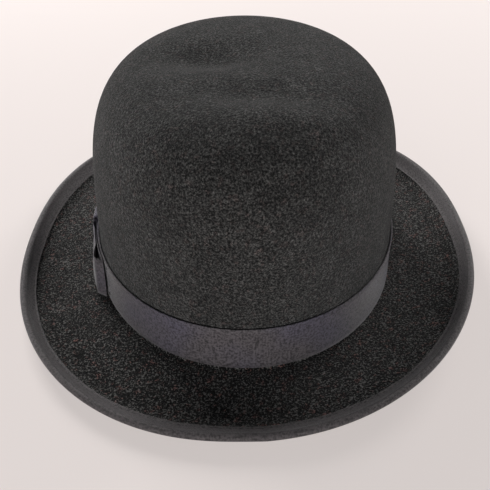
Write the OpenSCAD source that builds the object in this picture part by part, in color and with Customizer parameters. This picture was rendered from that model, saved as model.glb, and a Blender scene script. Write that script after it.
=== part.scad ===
// Bowler hat: a blocked felt hood with ribbon trim outside and a leather and satin fitting inside.
// The front of the hat faces -Y, the wearer's left is +X, and the bow is on that side.
// The brim rests on z = 0, and the Z axis runs through the middle of the brim's outline.

/* [Crown] */
// Width across the crown at the brim, side to side
crown_w = 170; // [140:1:205]
// Length of the crown at the brim, front to back
crown_l = 208; // [170:1:250]
// Height of the crown above the brim
crown_h = 124; // [100:1:150]
// How square the shoulder of the crown is, seen from the side
shoulder_rise = 5.9; // [3:0.1:8]
// How flat the top of the crown is
shoulder_flat = 4; // [2.5:0.1:6]
// Share by which the wall narrows from brim to top
crown_taper = 0.03; // [0:0.005:0.1]
// Thickness of the stiffened felt
felt_t = 2.4; // [1.5:0.1:3.5]
// Depth of the dents pressed into the top, as a share of their usual depth
dent_depth = 1; // [0:0.1:1.5]

/* [Brim] */
// Width of the brim at each side
brim_side = 42; // [33:0.5:60]
// Width of the brim at the back
brim_back = 44; // [35:0.5:60]
// Width of the brim at the front
brim_front = 50; // [35:0.5:65]
// How square the outline of the brim is (2 is a plain oval)
brim_square = 2.23; // [2:0.01:2.6]
// Height of the edge over the foot of the crown, front and back
edge_end_h = 3; // [0:0.5:8]
// Height of the edge over the foot of the crown, at the sides
edge_side_h = 12.4; // [4:0.1:25]
// Extra lift of the edge towards the back right, which the back left loses
warp_h = 8.3; // [0:0.1:12]
// How far the brim dips below the foot of the crown, front and back
brim_dip = 2.6; // [1:0.1:6]
// Slope of the edge, front and back, in degrees
lip_end = 40; // [15:1:50]
// Slope of the edge at the sides, in degrees
lip_side = 85; // [45:1:90]
// Radius of the curl, front and back
curl_end_r = 30; // [25:1:60]
// Radius of the curl at the sides
curl_side_r = 12; // [9:0.5:20]

/* [Ribbon] */
// Height of the hat band
band_h = 25.4; // [15:0.2:45]
// Thickness of the hat band
band_t = 0.8; // [0.4:0.1:1.5]
// Width of the edge binding that shows on each face of the brim
binding_w = 8; // [6:0.1:11]
// Thickness of the edge binding
binding_t = 0.6; // [0.3:0.1:1]

/* [Bow] */
// How far each loop of the bow reaches from its middle
bow_reach = 50; // [30:1:60]
// Thickness of the ribbon in the bow
bow_t = 0.6; // [0.3:0.1:0.8]
// How far the loops stand off over their lowest part
loop_puff = 2.4; // [0:0.1:5]
// Width of the knot
knot_w = 18; // [12:1:26]
// How far the knot reaches over the hat band, at the top
knot_proud = 1.8; // [0.5:0.1:4]

/* [Sweatband] */
// Height of the leather sweatband
sweat_h = 51; // [35:1:65]
// Thickness of the leather
sweat_t = 1.2; // [0.6:0.1:2]
// Radius of the reed in the sweatband's lower edge
reed_r = 0.9; // [0.6:0.1:1.5]
// Thickness of the tape round the reed
tape_t = 0.3; // [0.2:0.1:0.6]

/* [Lining] */
// Thickness of the satin lining
lining_t = 0.5; // [0.3:0.1:1]
// Size of the oval tip, as a share of the crown's top
tip_share = 0.78; // [0.5:0.01:0.85]
// Radius of the piping round the tip
piping_r = 0.7; // [0.4:0.1:1.2]
// Height of the lining's lower edge above the foot of the crown
lining_low = 16; // [5:1:30]

/* [Stitches] */
// Stitches round each face of the binding
binding_stitch_n = 72; // [24:1:120]
// Stitches round the sweatband
sweat_stitch_n = 90; // [30:1:120]
// Stitches that hold the reed tape to the felt
reed_stitch_n = 60; // [20:1:90]
// Radius of the thread
thread_r = 0.22; // [0.15:0.01:0.35]

/* [Hidden] */

// Clearance between ribbon and what it lies on, and between cloth pieces inside
snug = 0.1;
// Clearance between a piece inside the hat and the felt behind it
loose = 0.4;
// Radius at the foot of the crown, on the outside
foot_r = 1.2;
// Height of the foot of the crown above the floor
foot_z = felt_t + brim_dip;
// The crown stands back of the middle, because the brim is wider in front
crown_y = (brim_front - brim_back) / 2;
// How much steeper the right lip is than the middle of the two, in degrees
lip_uneven = 6.5;
// The dents in the top: middle x and y, half widths in x and y, and depth
dents = [[22, -1, 25, 16, 6.8], [-8, 43, 36, 12, 3.8], [-4, 14, 50, 36, 1.6], [-6, 65, 34, 9, -1.4]];
// Angles round the hat at which every ring has a point
step = 6;
around = [for (q = [0:step:360 - step]) q];
// Room that a piece inside a ring needs, because the ring's flats cut inside its round
flat_gap = (crown_l / 2 + brim_back) * (1 - cos(step / 2));

// Share of the crown's width at which the dome passes into the wall
dome_share = 0.93;
dome_top = pow(1 - pow(dome_share, shoulder_flat), 1 / shoulder_rise);

// ---- Plan outlines ----

function signed_pow(c, p) = sign(c) * pow(abs(c), p);
function unit(v) = v / norm(v);
function mix(a, b, k) = a + (b - a) * k;

// Outline of the crown where it meets the brim, and its outward direction
function foot_plan(q) = [crown_w / 2 * cos(q), crown_l / 2 * sin(q)];
function foot_out(q) = unit([cos(q) / crown_w, sin(q) / crown_l]);

// Outline of the brim's edge
function edge_plan(q) = [
    (crown_w / 2 + brim_side) * signed_pow(cos(q), 2 / brim_square),
    (crown_l / 2 + (sin(q) < 0 ? brim_front : brim_back)) * signed_pow(sin(q), 2 / brim_square)
];
function brim_out(q) = unit(edge_plan(q) - foot_plan(q));
function brim_width(q) = norm(edge_plan(q) - foot_plan(q));

// ---- Section of the brim at an angle round the hat ----

function side_share(q, p) = pow(abs(cos(q)), p);
function edge_h(q) = mix(edge_end_h, edge_side_h, side_share(q, 1.6)) - warp_h * cos(q) * (1 + sin(q)) / 2;
function lip(q) = mix(lip_end, lip_side - lip_uneven * cos(q), side_share(q, 2.2));
function curl_r(q) = mix(curl_end_r, curl_side_r, side_share(q, 0.6));
// Slope where the curl begins
function curl_slope(q) = max(0, 1.5 * atan((edge_h(q) - curl_r(q) * (1 - cos(lip(q))))
    / (brim_width(q) - curl_r(q) * sin(lip(q)))));
// Height where the curl begins, and its distance from the crown
function curl_z(q) = max(-brim_dip, edge_h(q) - curl_r(q) * (cos(curl_slope(q)) - cos(lip(q))));
function curl_d(q) = brim_width(q) - curl_r(q) * (sin(lip(q)) - sin(curl_slope(q)));
function curl_len(q) = curl_r(q) * (lip(q) - curl_slope(q)) * PI / 180;

// Distance from the crown and height: v runs 0 to 1 round the foot, to 2 along the flat and to 3 round the curl
function brim_section(v, q) =
    v < 1 ? foot_r * [1 - cos(90 * v), 1 - sin(90 * v)]
    : v < 2 ? let (w = v - 1, run = curl_d(q) - foot_r)
        [foot_r + run * w, curl_z(q) * (3 * w * w - 2 * w * w * w) + run * tan(curl_slope(q)) * (w * w * w - w * w)]
    : let (a = mix(curl_slope(q), lip(q), v - 2))
        [curl_d(q), curl_z(q)] + curl_r(q) * [sin(a) - sin(curl_slope(q)), cos(curl_slope(q)) - cos(a)];

// ---- The hat's outer face ----

// A point in the hat's own frame, from a plan point about the crown's axis and a height over its foot
function place(plan, z) = [plan.x, plan.y + crown_y, foot_z + z];

function dent(x, y) = dent_depth * sum([for (d = dents)
    d[4] * exp(-pow((x - d[0]) / d[2], 2) - pow((y - d[1]) / d[3], 2))]);
function sum(list, i = 0) = i < len(list) ? list[i] + sum(list, i + 1) : 0;

// A point of the crown, from its share of the width and its share of the height
function crown_point(share, rise, q) =
    let (plan = foot_plan(q) * share * (1 - crown_taper * rise))
    place(plan, crown_h * rise - (rise > 0.7 ? dent(plan.x, plan.y) : 0));

// u runs 0 to 1 over the dome, to 2 down the wall and to 5 over the brim
function face(u, q) =
    u < 1 ? let (s = dome_share * u) crown_point(s, pow(1 - pow(s, shoulder_flat), 1 / shoulder_rise), q)
    : u < 2 ? let (t = mix(dome_top, foot_r / crown_h, u - 1))
        crown_point(pow(1 - pow(t, shoulder_rise), 1 / shoulder_flat), t, q)
    : let (p = brim_section(u - 2, q)) place(foot_plan(q) + p[0] * brim_out(q), p[1]);

// Direction along the section, and the outward direction, both by a small step
nudge = 0.002;
function along(u, q) = unit(face(min(u + nudge, 5), q) - face(max(u - nudge, nudge), q));
function round_dir(u, q) = unit(face(u, q + 0.05) - face(u, q - 0.05));
function outward(u, q) = unit(cross(along(u, q), round_dir(u, q)));
function off(u, q, h) = face(u, q) + h * outward(u, q);

// A point at a height on the wall of the crown, a distance off its outer face
function wall(z, q, h) =
    let (t = max(z, 0) / crown_h,
         share = pow(1 - pow(t, shoulder_rise), 1 / shoulder_flat) * (1 - crown_taper * t))
    place(foot_plan(q) * share + h * foot_out(q), z);

// A point at a distance from the crown and a height, both measured from its foot
function foot_point(d, z, q) = place(foot_plan(q) + d * foot_out(q), z);

// ---- Solids from rings of points ----

// Side faces between rings of equal length; wrap joins the last ring to the first
function skin_faces(m, n, wrap) = [
    for (i = [0:m - (wrap ? 1 : 2)]) for (j = [0:n - 1])
        let (a = i * n + j, b = i * n + (j + 1) % n, c = ((i + 1) % m) * n + (j + 1) % n, d = ((i + 1) % m) * n + j)
        each [[a, b, c], [a, c, d]]
];
function flat(lists) = [for (l = lists) each l];

// A closed hoop of cross sections
module hoop(sections) {
    polyhedron(flat(sections), skin_faces(len(sections), len(sections[0]), true), convexity = 6);
}

// A strip of cross sections with flat ends
module strip(sections) {
    m = len(sections);
    n = len(sections[0]);
    ends = [[for (j = [n - 1:-1:0]) j], [for (j = [0:n - 1]) (m - 1) * n + j]];
    polyhedron(flat(sections), concat(skin_faces(m, n, false), ends), convexity = 4);
}

// A bowl: rings from a top point outside, round the rim, to a top point inside
module bowl(top_out, rings, top_in) {
    m = len(rings);
    n = len(rings[0]);
    caps = [for (j = [0:n - 1]) each
        [[m * n, (j + 1) % n, j], [m * n + 1, (m - 1) * n + j, (m - 1) * n + (j + 1) % n]]];
    polyhedron(concat(flat(rings), [top_out, top_in]),
        concat([for (f = skin_faces(m, n, false)) f], caps), convexity = 6);
}

// One straight thread stitch with its middle at p, along dir
module stitch(p, dir, length) {
    d = unit(dir);
    translate(p) rotate([0, acos(d.z), atan2(d.y, d.x)]) cylinder(h = length, r = thread_r, center = true, $fn = 16);
}

// A row of stitches round the hat, each along the flat between the ring points on either side of it
module stitch_row(n, length, point) {
    for (q = [0:360 / n:359.9]) {
        a = point(step * floor(q / step));
        b = point(step * floor(q / step) + step);
        stitch(mix(a, b, q / step - floor(q / step)), b - a, length);
    }
}

// ---- Felt ----

dome_steps = [0.16, 0.32, 0.48, 0.62, 0.74, 0.84, 0.92, 1];
wall_steps = [1.12, 1.26, 1.42, 1.62, 2];
brim_steps = [2.5, 3, 3.35, 3.7];

// Where the binding's inner edge lies on the curl, and the steps that it and the felt share there
function binding_u(q, back = 0) = 5 - (binding_w - back) / curl_len(q);
function binding_steps(q) = [for (k = [0, 1 / 3, 2 / 3, 1]) mix(binding_u(q), 5, k)];
function felt_steps(q) = concat(dome_steps, wall_steps, brim_steps,
    [min(4, binding_u(q) - 0.08)], binding_steps(q));

module felt_hood() {
    n = len(felt_steps(0));
    color("#2b2b2b") bowl(
        face(0, 0),
        concat([for (i = [0:n - 1]) [for (q = around) face(felt_steps(q)[i], q)]],
               [for (i = [n - 1:-1:0]) [for (q = around) off(felt_steps(q)[i], q, -felt_t)]]),
        face(0, 0) - [0, 0, felt_t]);
}

// ---- Hat band ----

band_low = foot_r;
band_top = band_low + band_h;
band_face = snug + band_t;

module hat_band() {
    color("#464348") hoop([for (q = around) [
        wall(band_low, q, snug), wall(band_low, q, band_face),
        wall(band_top, q, band_face), wall(band_top, q, snug)
    ]]);
}

module band_tacks() {
    // Small upright stitches at the band's top edge, away from the bow
    color("#1c1c1e") for (q = [60:60:300])
        stitch(wall(band_top - 0.9, q, band_face + thread_r + 0.05), [0, 0, 1], 1.4);
}

// ---- Bow ----

// The knot is a wrap: its back layer lies on the band and its front layer over the loops
knot_back = band_face + snug;
knot_q = asin(knot_w / crown_l);
bow_q = asin(2 * bow_reach / crown_l);
loop_low = band_low + 0.5;
loop_top = band_top + 0.5;
loop_back = knot_back + bow_t + 2 * snug;
loop_pinch = loop_back + 2 * bow_t + snug;
knot_front = loop_pinch + snug + bow_t;

// How far the outer layer stands off the crown, from the pinch at the knot to the open end
pinch_q = knot_q + 0.5;
function loop_rise(q) = let (k = max(0, (abs(q) - pinch_q) / (bow_q - pinch_q)))
    loop_pinch + loop_puff * sin(90 * min(1, 1.6 * k));
// Near the ends the two layers meet in a round fold
function loop_fold(q) = let (e = max(0, (abs(q) - bow_q + 3) / 3)) sqrt(max(0, 1 - e * e));
function loop_middle(q) = (loop_back + loop_rise(q)) / 2;
function loop_outer(q) = loop_middle(q) + (loop_rise(q) - loop_middle(q)) * loop_fold(q);
function loop_inner(q) = loop_middle(q) - (loop_middle(q) - loop_back) * loop_fold(q);

module bow_loops() {
    half = concat([0, knot_q / 2], [for (k = [0:0.2:0.9]) mix(pinch_q, bow_q - 3, k)],
        [for (back_q = [3, 1.6, 0.6, 0]) bow_q - back_q]);
    run = concat([for (i = [len(half) - 1:-1:1]) -half[i]], half);
    back = [for (i = [len(run) - 2:-1:1]) run[i]];
    mid = [for (q = run) [q, loop_outer(q), 1]];
    low = [for (q = back) [q, loop_inner(q), -1]];
    // Each section is cut across the ribbon; at the folds the thickness turns along the crown
    color("#4b474b") hoop([for (p = concat(mid, low))
        let (fold = loop_fold(p[0]),
             turn = (p[0] > 0 ? 1 : -1) * (1 - fold) * bow_t * 0.55,
             inner_q = p[0] - turn,
             inner_h = p[1] - p[2] * bow_t * fold)
        [wall(loop_low, inner_q, inner_h), wall(loop_low, p[0], p[1]),
         wall(loop_top, p[0], p[1]), wall(loop_top, inner_q, inner_h)]]);
}

module bow_knot() {
    low = band_low - 0.5;
    top = band_top + knot_proud;
    t = bow_t * 0.8;
    // The wrap's outline across the ribbon, as distance off the crown and height
    outer = [[knot_back, low + 0.6], [knot_back, top - 0.6], [knot_back + 0.6, top], [knot_front - 0.4, top],
             [knot_front + 0.4, top - 1.4], [knot_front + 0.6, (low + top) / 2], [knot_front + 0.4, low + 1.2],
             [knot_front - 0.4, low], [knot_back + 0.6, low]];
    mid = [(knot_back + knot_front + 0.6) / 2, (low + top) / 2];
    inner = [for (p = outer) [p[0] > mid[0] ? p[0] - t : p[0] + (p[0] > knot_back ? 0 : t),
                              p[1] > mid[1] + 10 ? p[1] - t : p[1] < mid[1] - 10 ? p[1] + t : p[1]]];
    turns = [-knot_q, -knot_q / 2, 0, knot_q / 2, knot_q];
    color("#4b474b") hoop([for (i = [0:len(outer) - 1]) concat(
        [for (q = turns) wall(outer[i][1], q, outer[i][0])],
        [for (k = [len(turns) - 1:-1:0]) wall(inner[i][1], turns[k], inner[i][0])])]);
}

module bow_tacks() {
    // A pair of small stitches on the band just past each end of the bow
    color("#1c1c1e") for (side = [-1, 1]) for (z = [loop_low + 4, loop_top - 4])
        stitch(wall(z, side * (bow_q + 0.7), band_face + thread_r + 0.05), [0, 0, 1], 1.6);
}

// ---- Brim binding ----

// A point past the felt's edge: a distance out along the face and a height off it
function past_edge(q, out, h) = face(5, q) + out * along(5, q) + h * outward(5, q);

module brim_binding() {
    wrap_r = felt_t / 2 + snug + binding_t;
    color("#4f4b4b") hoop([for (q = around)
        let (us = binding_steps(q), over = snug + binding_t)
        concat(
            [for (i = [0:3]) off(us[i], q, snug)],
            [past_edge(q, snug, snug), past_edge(q, snug, -felt_t - snug)],
            [for (i = [3:-1:0]) off(us[i], q, -felt_t - snug)],
            [for (i = [0:2]) off(us[i], q, -felt_t - over)],
            [for (a = [-90, -45, 0, 45, 90]) past_edge(q, wrap_r * cos(a), wrap_r * sin(a) - felt_t / 2)],
            [for (i = [2:-1:0]) off(us[i], q, over)]
        )]);
}

module binding_stitches() {
    h = snug + binding_t + thread_r + 0.05;
    // The binding's flats along the curl stand off its round by this much
    function sag(q) = pow(binding_w / 3, 2) / (8 * curl_r(q));
    color("#1c1c1e") {
        stitch_row(binding_stitch_n, 3, function (q) off(binding_u(q, 1.4), q, h + flat_gap + sag(q)));
        stitch_row(binding_stitch_n, 3, function (q) off(binding_u(q, 1.4), q, -felt_t - h - snug - sag(q)));
    }
}

// ---- Sweatband ----

// The reed lies in the corner under the foot of the crown
corner_r = felt_t + foot_r;
tape_r = reed_r + snug + tape_t;
reed_reach = corner_r + loose - snug + tape_r;
reed_d = foot_r - reed_reach * cos(35);
reed_z = foot_r - reed_reach * sin(35);
sweat_low = reed_z - tape_r - 0.1;
sweat_top = sweat_low + sweat_h;

// The lining's faces, and the room that the ticket takes between lining and leather
lining_face = -felt_t - loose;
lining_back = lining_face - lining_t;
paper_t = 0.2;
ticket_low = sweat_top - 6;
ticket_top = sweat_top + 9;
ticket_q = 66;
// How far a straight run between two heights cuts inside the round of the wall
function chord_gap(z0, z1) = norm(wall((z0 + z1) / 2, ticket_q, 0) - (wall(z0, ticket_q, 0) + wall(z1, ticket_q, 0)) / 2);
ticket_back = lining_back - snug - chord_gap(lining_low, ticket_top);

// The leather's outer face: just clear of the tape below, and of the ticket above
function sweat_out(z) = mix(reed_d - tape_r - 0.2, ticket_back - paper_t - snug, (z - sweat_low) / sweat_h);
function sweat_in(z) = sweat_out(z) - sweat_t;
// Height of the row of stitches over the leather's lower edge
row_up = 3.6;

module sweatband() {
    levels = concat([sweat_low, sweat_low + row_up], [for (k = [0.17, 0.44, 0.72, 1]) mix(sweat_low, sweat_top, k)]);
    color("#6b4a30") hoop([for (q = around) concat(
        [for (z = levels) wall(z, q, sweat_in(z))],
        [for (i = [len(levels) - 1:-1:0]) wall(levels[i], q, sweat_out(levels[i]))])]);
}

module sweatband_reed() {
    color("#d8cfae") hoop([for (q = around) [for (a = [0:60:300])
        foot_point(reed_d + reed_r * cos(a), reed_z - reed_r * sin(a), q)]]);
}

module reed_tape() {
    // The tape is bent round the reed and is open at the top
    turns = [120, 165, 210, 255, 300, 345, 390, 420];
    color("#26241f") hoop([for (q = around) concat(
        [for (a = turns) foot_point(reed_d + (reed_r + snug) * cos(a), reed_z + (reed_r + snug) * sin(a), q)],
        [for (i = [len(turns) - 1:-1:0])
            foot_point(reed_d + tape_r * cos(turns[i]), reed_z + tape_r * sin(turns[i]), q)])]);
}

module reed_stitches() {
    // Whip stitches from the tape to the felt under the foot of the crown
    color("#1c1c1e") for (q = [3:360 / reed_stitch_n:362.9]) {
        a = foot_point(reed_d, reed_z - tape_r - thread_r - 0.1, q);
        b = foot_point(foot_r / 2, foot_r - corner_r - thread_r - 0.15, q);
        stitch((a + b) / 2, b - a, norm(b - a));
    }
}

module sweatband_stitches() {
    z = sweat_low + row_up;
    color("#c9b48a")
        stitch_row(sweat_stitch_n, 3, function (q) wall(z, q, sweat_in(z) - thread_r - flat_gap));
}

module sweatband_seam_stitches() {
    // Zigzag over the join of the leather at the back
    n = 9;
    first = sweat_low + 22;
    color("#c9b48a") for (i = [0:n - 1]) {
        z = mix(first, sweat_top - 4, i / (n - 1));
        stitch(wall(z, 90, sweat_in(z) - thread_r - flat_gap), [3, 0, i % 2 == 0 ? 2 : -2], 3.6);
    }
}

module sweatband_bow() {
    // A small flat bow at the back, over the join: lobes each side of a waist
    half_w = 11;
    middle = sweat_low + 13;
    cols = [for (x = [-1:0.125:1]) let (lobe = abs(x)) [x, mix(2.2, 4.4, sin(100 * min(1, lobe * 1.15)))]];
    near = 0.25;
    thick = 0.8;
    color("#17171a") strip([for (c = cols)
        let (q = 90 - c[0] * asin(2 * half_w / crown_w), low = middle - c[1], top = middle + c[1],
             h = sweat_in(middle) - near)
        [wall(low, q, h - thick), wall(low, q, h), wall(top, q, h), wall(top, q, h - thick)]]);
}

// ---- Lining ----

tip_u = tip_share / dome_share;

module lining_tip() {
    rings = concat([for (u = dome_steps) if (u < tip_u - 0.03) u], [tip_u]);
    inside = [for (i = [len(rings) - 1:-1:0]) rings[i]];
    color("#8a8378") bowl(
        face(0, 0) + [0, 0, lining_face],
        concat([for (u = rings) [for (q = around) off(u, q, lining_face)]],
               [for (u = inside) [for (q = around) off(u, q, lining_back)]]),
        face(0, 0) + [0, 0, lining_back]);
}

module lining_side() {
    low_u = 1 + (dome_top - lining_low / crown_h) / (dome_top - foot_r / crown_h);
    steps = concat([tip_u + 0.012], [for (u = dome_steps) if (u > tip_u + 0.03) u],
        [for (u = wall_steps) if (u < low_u - 0.05) u], [low_u]);
    color("#8a8378") hoop([for (q = around) concat(
        [for (u = steps) off(u, q, lining_face)],
        [for (i = [len(steps) - 1:-1:0]) off(steps[i], q, lining_back)])]);
}

module lining_piping() {
    h = lining_back - snug - piping_r;
    color("#5c564c") hoop([for (q = around) [for (a = [0:60:300])
        off(tip_u, q, h) + piping_r * (cos(a) * along(tip_u, q) - sin(a) * outward(tip_u, q))]]);
}

module size_ticket() {
    // A plain paper ticket between lining and leather, left of the back join
    h = ticket_back;
    color("#e8e2d2") strip([for (q = [ticket_q + step, ticket_q, ticket_q - step])
        [wall(ticket_low, q, h - paper_t), wall(ticket_low, q, h),
         wall(ticket_top, q, h), wall(ticket_top, q, h - paper_t)]]);
}

felt_hood();
hat_band();
band_tacks();
bow_loops();
bow_knot();
bow_tacks();
brim_binding();
binding_stitches();
sweatband();
sweatband_reed();
reed_tape();
reed_stitches();
sweatband_stitches();
sweatband_seam_stitches();
sweatband_bow();
lining_tip();
lining_side();
lining_piping();
size_ticket();
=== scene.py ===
"""Bowler hat: the visible pieces and their finishes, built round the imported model."""
import math

import bmesh
import bpy
import numpy as np
from mathutils import Matrix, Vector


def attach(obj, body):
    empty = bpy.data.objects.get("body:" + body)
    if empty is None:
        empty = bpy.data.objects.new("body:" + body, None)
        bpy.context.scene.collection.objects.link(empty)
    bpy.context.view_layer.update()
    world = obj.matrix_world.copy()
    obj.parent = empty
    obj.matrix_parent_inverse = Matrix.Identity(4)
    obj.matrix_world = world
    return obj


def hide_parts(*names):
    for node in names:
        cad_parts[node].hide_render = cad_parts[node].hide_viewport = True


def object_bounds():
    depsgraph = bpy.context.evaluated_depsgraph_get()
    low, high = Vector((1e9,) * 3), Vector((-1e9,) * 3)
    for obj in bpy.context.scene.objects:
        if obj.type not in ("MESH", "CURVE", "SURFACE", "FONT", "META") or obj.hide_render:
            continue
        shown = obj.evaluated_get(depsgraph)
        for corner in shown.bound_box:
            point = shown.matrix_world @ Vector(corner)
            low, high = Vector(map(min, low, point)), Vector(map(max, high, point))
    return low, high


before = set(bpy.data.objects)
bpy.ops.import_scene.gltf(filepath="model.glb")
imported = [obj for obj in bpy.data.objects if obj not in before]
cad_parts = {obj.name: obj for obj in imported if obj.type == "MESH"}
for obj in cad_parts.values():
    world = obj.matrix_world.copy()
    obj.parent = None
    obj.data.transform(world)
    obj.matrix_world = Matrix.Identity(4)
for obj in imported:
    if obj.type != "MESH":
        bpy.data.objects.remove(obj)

cad_low, cad_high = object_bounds()

bl_info = {
    "name": "Bowler hat",
    "version": (1, 0, 0),
    "blender": (4, 5, 0),
    "location": "View3D > Sidebar > Hat",
    "description": "Builds a felt bowler hat, its ribbon trim and its fitting inside",
    "category": "Add Mesh",
}

MM = 0.001
TURN = 2 * math.pi
ROOT = "root"

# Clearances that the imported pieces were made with
SNUG = 0.1 * MM
LOOSE = 0.4 * MM
# Thickness of the ticket, width of the painted highlight along a ribbon's selvedge, and the round where
# crown meets brim
PAPER_T = 0.2 * MM
SELVEDGE = 1.3 * MM
FOOT_R = 1.2 * MM
# Share of the crown's width at which the dome passes into the wall
DOME_SHARE = 0.93
# The dents in the top: middle x and y, half widths in x and y, and depth, in millimetres
DENTS = [(22, -1, 25, 16, 6.8), (-8, 43, 36, 12, 3.8), (-4, 14, 50, 36, 1.6), (-6, 65, 34, 9, -1.4)]


def length(name, description, millimetres):
    """A size that a user can change, kept in metres."""
    return bpy.props.FloatProperty(
        name=name, description=description, default=millimetres * MM, unit="LENGTH", precision=4)


def share(name, description, value):
    """A plain number that a user can change."""
    return bpy.props.FloatProperty(name=name, description=description, default=value, precision=3)


def degrees(name, description, value):
    """An angle that a user can change."""
    return bpy.props.FloatProperty(
        name=name, description=description, default=math.radians(value), unit="ROTATION")


def colour(name, description, red, green, blue):
    """A colour that a user can change, as linear red, green and blue."""
    return bpy.props.FloatVectorProperty(
        name=name, description=description, default=(red, green, blue), size=3, subtype="COLOR",
        min=0, max=1)


class HatSizes(bpy.types.PropertyGroup):
    """The driving dimensions of the hat."""
    crown_w: length("Crown width", "Width across the crown at the brim", 170)
    crown_l: length("Crown length", "Length of the crown at the brim", 208)
    crown_h: length("Crown height", "Height of the crown above the brim", 124)
    shoulder_rise: share("Shoulder rise", "How square the shoulder is, seen from the side", 5.9)
    shoulder_flat: share("Top flatness", "How flat the top of the crown is", 4)
    crown_taper: share("Taper", "Share by which the wall narrows to the top", 0.03)
    felt_t: length("Felt thickness", "Thickness of the stiffened felt", 2.4)
    brim_side: length("Brim at sides", "Width of the brim at each side", 42)
    brim_back: length("Brim at back", "Width of the brim at the back", 44)
    brim_front: length("Brim at front", "Width of the brim at the front", 50)
    brim_square: share("Brim squareness", "How square the brim's outline is", 2.23)
    edge_end_h: length("Edge height, ends", "Height of the edge, front and back", 3)
    edge_side_h: length("Edge height, sides", "Height of the edge at the sides", 12.4)
    warp_h: length("Warp", "Extra lift of the edge towards the back right", 8.3)
    brim_dip: length("Dip", "How far the brim dips, front and back", 2.6)
    lip_end: degrees("Lip slope, ends", "Slope of the edge, front and back", 40)
    lip_side: degrees("Lip slope, sides", "Slope of the edge at the sides", 85)
    lip_uneven: degrees("Lip difference", "How much steeper the right lip is than the middle", 6.5)
    curl_end_r: length("Curl radius, ends", "Radius of the curl, front and back", 30)
    curl_side_r: length("Curl radius, sides", "Radius of the curl at the sides", 12)
    band_h: length("Band height", "Height of the hat band", 25.4)
    band_t: length("Band thickness", "Thickness of the hat band", 0.8)
    band_stand: length("Band stand-off", "How far the band's top edge stands off the felt", 0.5)
    binding_w: length("Binding width", "Width of the binding on each face", 8)
    binding_t: length("Binding thickness", "Thickness of the binding", 0.6)
    bow_reach: length("Bow reach", "How far each loop reaches from the bow's middle", 50)
    bow_t: length("Bow ribbon", "Thickness of the ribbon in the bow", 0.6)
    loop_puff: length("Loop puff", "How far the loops stand off", 2.4)
    knot_w: length("Knot width", "Width of the knot", 18)
    knot_proud: length("Knot rise", "How far the knot reaches over the band", 1.8)
    sweat_h: length("Sweatband height", "Height of the leather sweatband", 51)
    sweat_t: length("Leather thickness", "Thickness of the leather", 1.2)
    reed_r: length("Reed radius", "Radius of the reed", 0.9)
    tape_t: length("Tape thickness", "Thickness of the reed tape", 0.3)
    lining_t: length("Lining thickness", "Thickness of the satin", 0.5)
    tip_share: share("Tip size", "Size of the lining's oval tip", 0.78)
    piping_r: length("Piping radius", "Radius of the piping", 0.7)
    lining_low: length("Lining edge", "Height of the lining's lower edge", 16)
    thread_r: length("Thread radius", "Radius of the thread", 0.22)


class HatColours(bpy.types.PropertyGroup):
    """The colours of the hat and of what it stands on."""
    felt: colour("Felt", "Black fur felt between its fibres", 0.0085, 0.0085, 0.0085)
    fleck: colour("Fibre", "Pale fibres in the felt", 0.180, 0.178, 0.171)
    rust: colour("Warm fibre", "Reddish fibres in the felt", 0.260, 0.120, 0.105)
    ribbon: colour("Ribbon", "Grosgrain of the band and bow", 0.118, 0.105, 0.112)
    ribbon_tint: colour("Ribbon tint", "Cooler patches of the grosgrain", 0.110, 0.100, 0.138)
    binding: colour("Binding", "Grosgrain of the brim's edge", 0.100, 0.089, 0.091)
    thread: colour("Black thread", "Thread of the outer stitches", 0.012, 0.012, 0.013)
    tan_thread: colour("Tan thread", "Thread of the leather's stitches", 0.42, 0.32, 0.18)
    leather: colour("Leather", "Leather of the sweatband", 0.20, 0.105, 0.052)
    satin: colour("Satin", "Satin of the lining", 0.50, 0.46, 0.38)
    piping: colour("Piping", "Satin of the lining's piping", 0.25, 0.22, 0.17)
    bow_satin: colour("Bow satin", "Small bow at the back of the leather", 0.015, 0.015, 0.016)
    tape: colour("Tape", "Waxed cloth round the reed", 0.020, 0.019, 0.017)
    reed: colour("Reed", "Reed in the leather's edge", 0.60, 0.55, 0.38)
    paper: colour("Paper", "Size ticket", 0.80, 0.76, 0.66)
    floor: colour("Floor", "Floor and backdrop", 0.87, 0.80, 0.775)


# ---- Shape of the hat ----

def mix(a, b, k):
    """The value a share k of the way from a to b."""
    return a + (b - a) * k


def ease(k):
    """A smooth step from 0 to 1."""
    k = np.clip(k, 0, 1)
    return k * k * (3 - 2 * k)


def unit(v):
    """Vectors at length 1."""
    return v / np.linalg.norm(v, axis=-1, keepdims=True)


def signed_power(c, p):
    """A power of the size of c, with the sign of c."""
    return np.sign(c) * np.abs(c) ** p


def circle(q):
    """Points round a circle of radius 1."""
    return np.stack([np.cos(q), np.sin(q)], -1)


def ripple(points, size, seed):
    """A smooth uneven value from -1 to 1 at each point, with bumps of about that size."""
    rng = np.random.default_rng(seed)
    waves = rng.normal(size=(7, points.shape[-1])) / size
    phases = rng.uniform(0, TURN, 7)
    return np.sin(points @ waves.T + phases).mean(-1) * 1.5


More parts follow.
